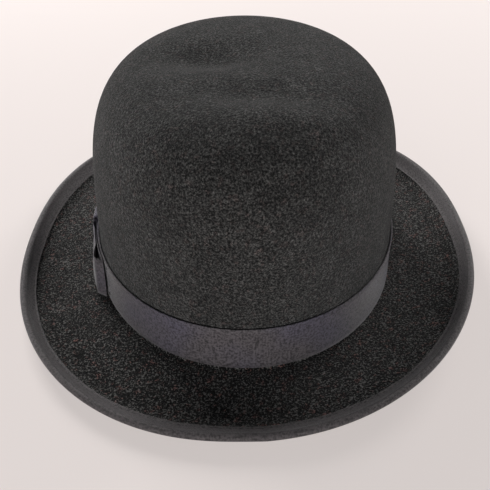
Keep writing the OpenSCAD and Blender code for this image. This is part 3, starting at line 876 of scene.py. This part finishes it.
class HAT_OT_sweatband(bpy.types.Operator):
    """Build the leather sweatband with its stitches, back join and small bow"""
    bl_idname = "hat.sweatband"
    bl_label = "Sweatband"

    def leather(self, fit):
        """The leather, thinned to a rounded edge at its top, with soft waves along it."""
        q = angles(288)[:, None]
        z = np.linspace(fit.low, fit.top, 16)
        turns = circle(q[:, 0])
        wave = 0.5 * MM * ripple(turns, 0.16, 21)[:, None] * ease((z[None, :] - fit.low) / 0.05)
        inner = fit.leather_in(z)[None, :] - np.abs(wave) * 0.8
        thin = np.where(z > fit.top - 1.5 * MM, 0.35, 1.0)[None, :]
        outer = inner + fit.shape.s.sweat_t * thin
        front = fit.shape.wall(z[None, :], q, inner)
        back = fit.shape.wall(z[None, :], q, outer)
        crest = fit.shape.wall(fit.top + 0.2 * MM, q, (inner + outer)[:, -1:] / 2)
        return np.concatenate([front, crest, back[:, ::-1]], 1)

    def small_bow(self, fit):
        """A flat satin bow at the back: two lobes each side of a waist."""
        s = fit.shape.s
        across = np.linspace(-1, 1, 41)
        lobe = mix(2.0, 4.4, np.sin(np.minimum(1, np.abs(across) * 1.15) * math.radians(100))) * MM
        middle = fit.low + 13 * MM
        q = math.pi / 2 - across * math.asin(22 * MM / s.crown_w)
        face = fit.leather_in(middle) - 0.25 * MM
        level = np.array([-1, -0.5, 0, 0.5, 1, 0.5, 0, -0.5])
        side = np.array([0, 0, 0, 0, 0, 1, 1, 1])
        bulge = 0.5 * MM * np.sin(np.abs(across) * math.pi)[:, None] * (1 - level ** 2)[None, :]
        depth = face - side[None, :] * (0.8 * MM + bulge)
        return fit.shape.wall(middle + lobe[:, None] * level[None, :], q[:, None], depth)

    def execute(self, context):
        fit = InnerFit(hat_shape(context))
        shape = fit.shape
        s = shape.s
        materials = bpy.data.materials
        leather = ring_piece("leather_sweatband", self.leather(fit))
        finish_piece(leather, leather_finish(context.scene.hat_colours), "leather", "sweatband")
        z = fit.low + 3.6 * MM
        q = angles(150)
        around = unit(shape.wall(z, q + 0.01, 0.0) - shape.wall(z, q - 0.01, 0.0))
        inward = -np.concatenate([shape.foot_out(q), np.zeros((len(q), 1))], 1)
        row = stitch_piece("leather_thread", shape.wall(z, q, fit.leather_in(z) - s.thread_r * 0.5),
                           around, inward, 2.8 * MM, s.thread_r)
        finish_piece(row, materials["tan_thread"], "tan_thread", "sweatband_stitches")
        n = 12
        z = np.linspace(fit.low + 22 * MM, fit.top - 4 * MM, n)
        zigzag = np.array([(3, 0, 2 if i % 2 == 0 else -2) for i in range(n)], float)
        back = np.full(n, math.pi / 2)
        join = stitch_piece("leather_join_thread",
                            shape.wall(z, back, fit.leather_in(z) - s.thread_r * 1.6),
                            zigzag, np.tile([0.0, -1.0, 0.0], (n, 1)), 3.6 * MM, s.thread_r)
        finish_piece(join, materials["tan_thread"], "tan_thread", "sweatband_seam_stitches")
        bow = ring_piece("leather_bow", self.small_bow(fit), closed=False)
        finish_piece(bow, satin_finish("bow_satin", context.scene.hat_colours.bow_satin),
                     "bow_satin", "sweatband_bow")
        return {"FINISHED"}


class HAT_OT_reed(bpy.types.Operator):
    """Build the reed, the tape bent round it and the stitches to the felt"""
    bl_idname = "hat.reed"
    bl_label = "Reed and tape"

    def execute(self, context):
        fit = InnerFit(hat_shape(context))
        shape = fit.shape
        s = shape.s
        colours = context.scene.hat_colours
        q = angles(240)

        def tube(radius, turns):
            """Points round the reed at each angle of the hat."""
            plan = shape.foot_plan(q)[:, None] + shape.foot_out(q)[:, None] * (
                fit.reed_d + radius * np.cos(turns))[None, :, None]
            heights = fit.reed_z + radius * np.sin(turns)
            return shape.place(plan, np.broadcast_to(heights, plan.shape[:2]))

        reed = ring_piece("reed_rod", tube(s.reed_r, -angles(12)))
        finish_piece(reed, plain_finish("pale_reed", colours.reed, 0.4, 600), "reed", "sweatband_reed")
        bend = np.radians(np.linspace(120, 420, 19))
        wrap = np.concatenate([tube(s.reed_r + SNUG, bend), tube(fit.tape_r, bend[::-1])], 1)
        tape = ring_piece("reed_tape_wrap", wrap)
        finish_piece(tape, plain_finish("waxed_tape", colours.tape, 0.55, 1500), "tape", "reed_tape")
        finish_node("reed_stitches", "black_thread")
        return {"FINISHED"}


class HAT_OT_lining(bpy.types.Operator):
    """Build the satin lining: the oval tip, the side with its soft pleats, and the piping"""
    bl_idname = "hat.lining"
    bl_label = "Lining"

    def tip(self, fit, tip_u):
        q = angles(180)
        steps = np.linspace(0, tip_u, 18)[1:]
        outer = [fit.shape.off(u, q, fit.lining_face) for u in steps]
        inner = [fit.shape.off(u, q, fit.lining_back) for u in steps[::-1]]
        top = fit.shape.face(0.0, 0.0)
        return bowl_piece("satin_tip", np.array(outer + inner), top + [0, 0, fit.lining_face],
                          top + [0, 0, fit.lining_back])

    def side_steps(self, fit, tip_u):
        """The side's rows, from the tip's edge over the shoulder and down to the lower edge."""
        shape = fit.shape
        s = shape.s
        low_u = 1 + (shape.dome_top - s.lining_low / s.crown_h) / (shape.dome_top - FOOT_R / s.crown_h)
        return np.concatenate([np.linspace(tip_u + 0.012, 1, 8), np.linspace(1, low_u, 20)[1:]])

    def side(self, fit, steps):
        shape = fit.shape
        tip_u = steps[0]
        q = angles(360)
        turns = circle(q)
        columns_out, columns_in = [], []
        for u in steps:
            pleats = 0.35 * MM * (0.5 + 0.5 * np.cos(q * 72 + 1.5 * ripple(turns, 0.3, 31)))
            soft = pleats * float(ease((u - tip_u) / 0.1) * (1 - ease((u - 1.2) / 0.5) * 0.7))
            columns_out.append(shape.off(u, q, fit.lining_face))
            columns_in.append(shape.off(u, q, fit.lining_back - soft))
        return ring_piece("satin_side", np.stack(columns_out + columns_in[::-1], 1))

    def execute(self, context):
        fit = InnerFit(hat_shape(context))
        shape = fit.shape
        s = shape.s
        colours = context.scene.hat_colours
        satin = satin_finish("lining_satin", colours.satin)
        tip_u = s.tip_share / DOME_SHARE
        steps = self.side_steps(fit, tip_u)
        tip = finish_piece(self.tip(fit, tip_u), satin, "lining_satin", "lining_tip")
        side = finish_piece(self.side(fit, steps), satin, "lining_satin", "lining_side")
        # The tip is cut as an oval and the side as a straight strip, pleated in to meet it
        rows = np.linspace(0.002, tip_u, 30)
        wide, long = (2 * path_length(shape.off(rows, q, fit.lining_back)) for q in (0.0, math.pi / 2))
        high = path_length(shape.off(steps, 0.0, fit.lining_back))
        around = path_length(shape.off(steps[-1], np.linspace(0, TURN, 361), fit.lining_back))
        q = angles(240)
        h = fit.lining_back - SNUG - s.piping_r
        centre = shape.off(tip_u, q, h)
        along, out = shape.along(tip_u, q), shape.outward(tip_u, q)
        cord = [centre + s.piping_r * (math.cos(a) * along - math.sin(a) * out) for a in angles(10)]
        piping = ring_piece("satin_piping", np.stack(cord, 1))
        finish_piece(piping, satin_finish("piping_satin", colours.piping), "piping", "lining_piping")
        return {"FINISHED"}


class HAT_OT_ticket(bpy.types.Operator):
    """Build the plain paper ticket behind the leather"""
    bl_idname = "hat.ticket"
    bl_label = "Size ticket"

    def execute(self, context):
        fit = InnerFit(hat_shape(context))
        q = fit.ticket_q + np.radians(np.linspace(6, -6, 13))[:, None]
        levels = np.linspace(*fit.ticket_z, 5)
        z = np.concatenate([levels, levels[::-1]])
        h = fit.ticket_back - PAPER_T * np.repeat([0, 1], 5)
        ticket = ring_piece("paper_ticket", fit.shape.wall(z[None, :], q, h[None, :]), closed=False)
        finish_piece(ticket, plain_finish("ticket_paper", context.scene.hat_colours.paper, 0.8, 900),
                     "paper", "size_ticket")
        return {"FINISHED"}


class HAT_OT_finishes(bpy.types.Operator):
    """Make the finishes that several pieces share"""
    bl_idname = "hat.finishes"
    bl_label = "Shared finishes"

    def execute(self, context):
        colours = context.scene.hat_colours
        grosgrain_finish("ribbon_grosgrain", colours.ribbon, colours.ribbon_tint)
        thread_finish("black_thread", colours.thread)
        thread_finish("tan_thread", colours.tan_thread)
        return {"FINISHED"}


# ---- Stage ----

FLOOR_REACH = 4.0
# Share of its own colour that the camera sees of the floor, whatever light falls on it
FLOOR_EVENNESS = 0.6
SKY_STRENGTH = 0.1

# Where the camera stands behind the hat and over the foot of the crown, and how it is turned
CAMERA_BACK = 362.8 * MM
CAMERA_UP = 267.8 * MM
CAMERA_PITCH = math.radians(36.39)
CAMERA_ROLL = math.radians(-0.36)
CAMERA_LENS = 53.93


class HAT_OT_stage(bpy.types.Operator):
    """Set up the floor, the lights and the camera"""
    bl_idname = "hat.stage"
    bl_label = "Stage"

    def floor(self, colours):
        """A wide plain floor that the hat rests on; the camera sees it nearly even and pale."""
        side, low = FLOOR_REACH, cad_low[2]
        corners = [(-side, -side, low), (side, -side, low), (side, side, low), (-side, side, low)]
        piece = mesh_piece("floor", corners, [(0, 1, 2, 3)])
        paint = Finish("plain_floor", {"Roughness": 0.9, "Specular IOR Level": 0.1})
        paint.set({"Base Color": rgba(colours.floor)})
        pale = paint.node("ShaderNodeEmission", {}, {"Color": rgba(colours.floor)})
        seen = paint.node("ShaderNodeLightPath", output="Is Camera Ray") * FLOOR_EVENNESS
        surface = Value(paint, paint.shader.outputs[0])
        shown = paint.node("ShaderNodeMixShader", {}, [seen, surface, pale])
        paint.plug(paint.tree.nodes["Material Output"].inputs["Surface"], shown)
        piece.data.materials.append(paint.material)

    def lamp(self, name, place, size, power, tint):
        """A square soft light that faces the hat."""
        data = bpy.data.lights.new(name, "AREA")
        data.size, data.energy, data.color = size, power, tint
        lamp = bpy.data.objects.new(name, data)
        lamp.location = place
        aim = np.array([0, 0, 0.06]) - np.array(place)
        lamp.rotation_euler = (math.atan2(math.hypot(aim[0], aim[1]), -aim[2]), 0,
                               math.atan2(aim[0], -aim[1]) + math.pi)
        bpy.context.scene.collection.objects.link(lamp)

    def world(self, colours):
        """Even light all round; the camera sees the backdrop's colour instead."""
        world = bpy.data.worlds.new("studio")
        bpy.context.scene.world = world
        world.use_nodes = True
        tree = world.node_tree
        light = tree.nodes["Background"]
        light.inputs["Color"].default_value = (0.93, 0.95, 1.0, 1)
        light.inputs["Strength"].default_value = SKY_STRENGTH
        seen = tree.nodes.new("ShaderNodeBackground")
        seen.inputs["Color"].default_value = rgba(colours.floor)
        seen.inputs["Strength"].default_value = 1.0
        path = tree.nodes.new("ShaderNodeLightPath")
        choose = tree.nodes.new("ShaderNodeMixShader")
        links = (path.outputs["Is Camera Ray"], light.outputs[0], seen.outputs[0])
        for place, socket in enumerate(links):
            tree.links.new(socket, choose.inputs[place])
        tree.links.new(choose.outputs[0], tree.nodes["World Output"].inputs["Surface"])

    def camera(self, shape):
        """The camera stands behind the hat and looks down on it."""
        data = bpy.data.cameras.new("view")
        data.lens, data.sensor_width = CAMERA_LENS, 36
        camera = bpy.data.objects.new("view", data)
        camera.location = (0, shape.middle_y + CAMERA_BACK, shape.foot_z + CAMERA_UP)
        camera.rotation_mode = "QUATERNION"
        turn, tip, roll = (Matrix.Rotation(a, 3, axis) for a, axis in (
            (math.pi, "Z"), (math.pi / 2 - CAMERA_PITCH, "X"), (CAMERA_ROLL, "Z")))
        camera.rotation_quaternion = (turn @ tip @ roll).to_quaternion()
        bpy.context.scene.collection.objects.link(camera)
        bpy.context.scene.camera = camera

    def execute(self, context):
        colours = context.scene.hat_colours
        self.floor(colours)
        self.lamp("key", (0.65, -1.15, 0.95), 0.7, 23, (1.0, 0.98, 0.97))
        self.lamp("rim", (-0.95, -0.95, 0.8), 0.7, 12, (1.0, 0.98, 0.97))
        self.lamp("fill", (0.25, 1.5, 0.2), 0.7, 15, (1.0, 0.985, 0.985))
        self.world(colours)
        self.camera(hat_shape(context))
        context.scene.view_settings.view_transform = "Standard"
        return {"FINISHED"}


PIECES = (HAT_OT_finishes, HAT_OT_felt, HAT_OT_band, HAT_OT_bow, HAT_OT_binding, HAT_OT_sweatband,
          HAT_OT_reed, HAT_OT_lining, HAT_OT_ticket, HAT_OT_stage)


class HAT_PT_panel(bpy.types.Panel):
    """Lists the hat's pieces in the sidebar"""
    bl_idname = "HAT_PT_panel"
    bl_label = "Bowler hat"
    bl_space_type = "VIEW_3D"
    bl_region_type = "UI"
    bl_category = "Hat"

    def draw(self, context):
        for piece in PIECES:
            self.layout.operator(piece.bl_idname)
        for group in (context.scene.hat_sizes, context.scene.hat_colours):
            for name in group.__annotations__:
                self.layout.prop(group, name)


CLASSES = (HatSizes, HatColours, *PIECES, HAT_PT_panel)


def register():
    for item in CLASSES:
        bpy.utils.register_class(item)
    bpy.types.Scene.hat_sizes = bpy.props.PointerProperty(type=HatSizes)
    bpy.types.Scene.hat_colours = bpy.props.PointerProperty(type=HatColours)


def unregister():
    del bpy.types.Scene.hat_colours
    del bpy.types.Scene.hat_sizes
    for item in reversed(CLASSES):
        bpy.utils.unregister_class(item)


def main():
    """Registers the classes and builds every piece."""
    register()
    for piece in PIECES:
        group, name = piece.bl_idname.split(".")
        getattr(getattr(bpy.ops, group), name)()


if __name__ == "__main__":
    main()
